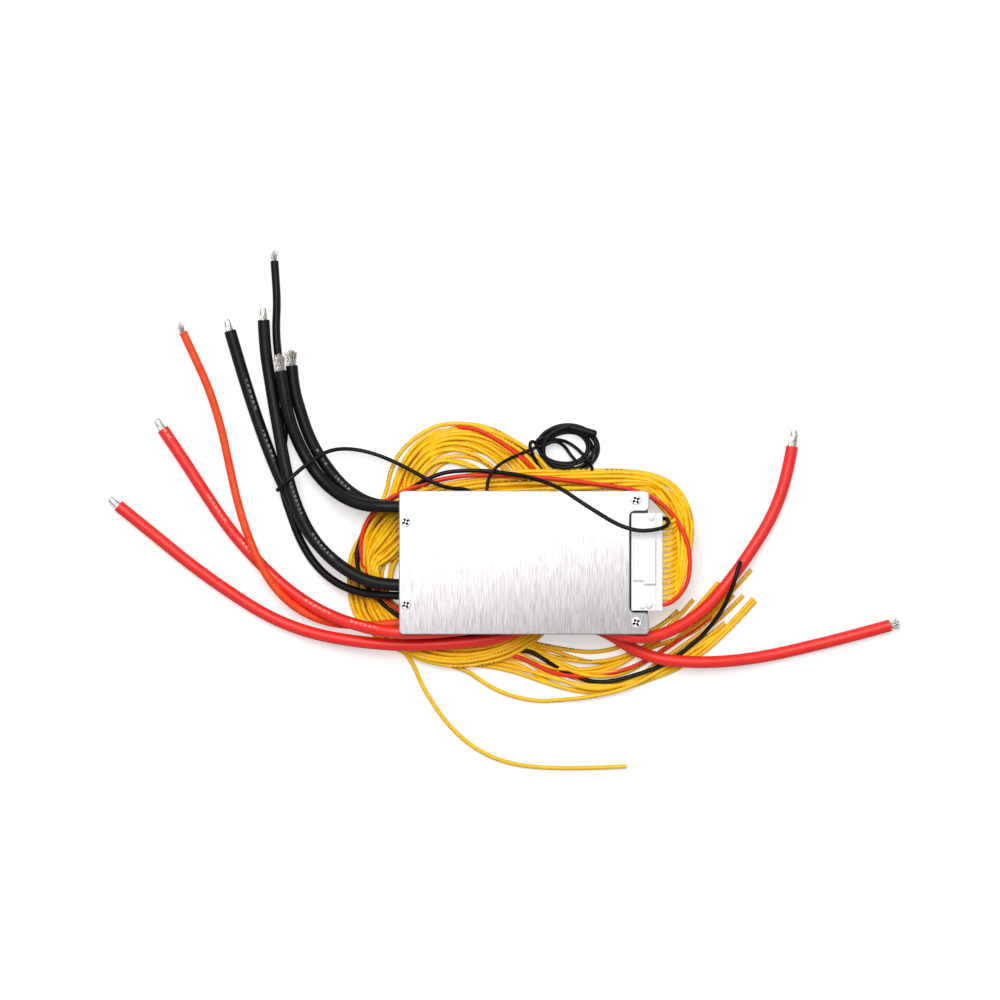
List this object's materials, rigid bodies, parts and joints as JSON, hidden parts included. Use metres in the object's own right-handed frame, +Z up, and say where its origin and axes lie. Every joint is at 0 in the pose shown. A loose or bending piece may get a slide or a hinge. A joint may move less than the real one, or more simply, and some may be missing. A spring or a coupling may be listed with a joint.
{
  "type": "battery management board",
  "caption": "Circuit board under a notched brushed aluminium cover on spacer legs, with thick red and black cables, a balance harness in its connector and two thin leads.",
  "frame": {"origin": "on the surface that the legs stand on, under the middle of the board assembly's box without its cords", "axes": "+X towards the balance connector along the board's length, +Y along its width away from the power cables' solder row, +Z up out of the cover"},
  "size_m": [0.2963, 0.1933, 0.0243],
  "materials": {
    "cover_aluminium": "brushed",
    "screw_steel": "plated",
    "spacer_brass": "turned",
    "board_laminate": "solder mask",
    "white_nylon": "moulded",
    "cream_nylon": "moulded",
    "white_silicone": "cured paste",
    "tinned_metal": "tin plated",
    "thermal_silicone": "soft matt",
    "black_epoxy": "moulded",
    "can_aluminium": "drawn",
    "solder": "satin",
    "yellow_pvc": "extruded",
    "black_pvc": "extruded",
    "black_silicone": "extruded",
    "red_silicone": "extruded",
    "orange_red_silicone": "extruded",
    "tinned_strands": "tinned"
  },
  "bodies": {
    "root": {"cover_plate": "cover_aluminium", "cover_screws": "screw_steel", "upper_spacers": "spacer_brass", "legs": "spacer_brass", "circuit_board": "board_laminate", "balance_header": "white_nylon", "header_pins": "tinned_metal", "header_lock": "cream_nylon", "silicone_dabs": "white_silicone", "balance_plug": "white_nylon", "thermal_pads": "thermal_silicone", "mosfet_bodies": "black_epoxy", "mosfet_metal": "tinned_metal", "shunt_resistors": "tinned_metal", "bleed_resistors": "black_epoxy", "controller_chip": "black_epoxy", "controller_leads": "tinned_metal", "sense_chips": "black_epoxy", "capacitors": "can_aluminium", "signal_header": "white_nylon", "sensor_header": "white_nylon", "signal_plug": "white_nylon", "sensor_plug": "white_nylon", "solder_joints": "solder", "harness_turns": "yellow_pvc", "harness_fan": "yellow_pvc", "harness_run": "yellow_pvc", "harness_tails": "yellow_pvc", "yellow_long_tail": "yellow_pvc", "yellow_low_tail": "yellow_pvc", "balance_black": "black_pvc", "signal_lead": "black_pvc", "sensor_lead": "black_pvc", "sensor_coil": "black_pvc", "sensor_head": "black_pvc", "black_cable_1": "black_silicone", "black_cable_2": "black_silicone", "black_cable_3": "black_silicone", "black_cable_4": "black_silicone", "black_charge_lead": "black_silicone", "red_cable_1": "red_silicone", "red_cable_2": "red_silicone", "red_cable_3": "red_silicone", "red_cable_4": "red_silicone", "red_charge_lead": "orange_red_silicone", "black_cable_1_end": "tinned_strands", "black_cable_2_end": "tinned_strands", "black_cable_3_end": "tinned_strands", "black_cable_4_end": "tinned_strands", "black_charge_lead_end": "tinned_strands", "red_cable_1_end": "tinned_strands", "red_cable_2_end": "tinned_strands", "red_cable_3_end": "tinned_strands", "red_cable_4_end": "tinned_strands", "red_charge_lead_end": "tinned_strands"}
  },
  "joints": []
}
